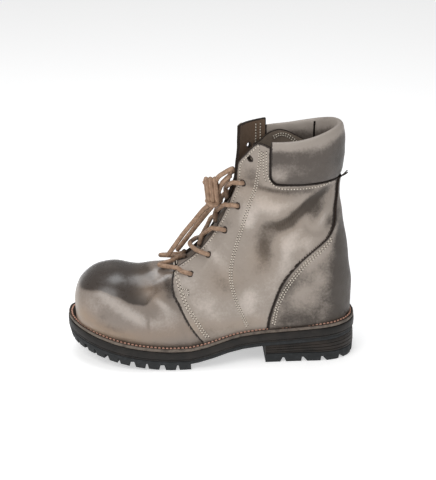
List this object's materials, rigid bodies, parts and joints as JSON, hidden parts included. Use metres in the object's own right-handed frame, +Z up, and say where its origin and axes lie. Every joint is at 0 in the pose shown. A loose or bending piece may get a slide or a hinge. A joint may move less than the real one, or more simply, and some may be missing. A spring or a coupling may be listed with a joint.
{
  "type": "lace-up ankle boot",
  "caption": "Lace-up ankle boot with a round toe, padded collar, counter, welted midsole, stacked heel and lugged rubber sole.",
  "frame": {"origin": "centre of the boot's footprint box, on the floor under the sole", "axes": "+Z up, -X towards the toe, +X towards the heel, -Y towards the outer side of the foot"},
  "size_m": [0.3037, 0.1115, 0.2499],
  "materials": {
    "upper_leather": "waxed full-grain leather, greige, darker and glossier on the toe",
    "pad_leather": "soft waxed leather over a pad",
    "tongue_leather": "soft leather, napped on the inside",
    "insole_leather": "smooth insole leather",
    "sole_leather": "dark stained edge, burnished and scuffed",
    "rubber": "matt black rubber",
    "lace": "round waxed cotton lace"
  },
  "bodies": {
    "root": {"outsole": "rubber", "heel_lift": "rubber", "heel_stack": "sole_leather", "midsole": "sole_leather", "welt": "sole_leather", "insole": "insole_leather", "upper": "upper_leather", "quarter_outer": "upper_leather", "quarter_inner": "upper_leather", "counter": "upper_leather", "collar_pad": "pad_leather", "tongue": "tongue_leather", "lace_crossing_1": "lace", "lace_crossing_2": "lace", "lace_crossing_3": "lace", "lace_bar": "lace", "lace_crossing_low": "lace", "lace_knot": "lace", "lace_lead_outer": "lace", "lace_lead_inner": "lace", "lace_end_outer": "lace", "lace_end_inner": "lace"}
  },
  "joints": []
}
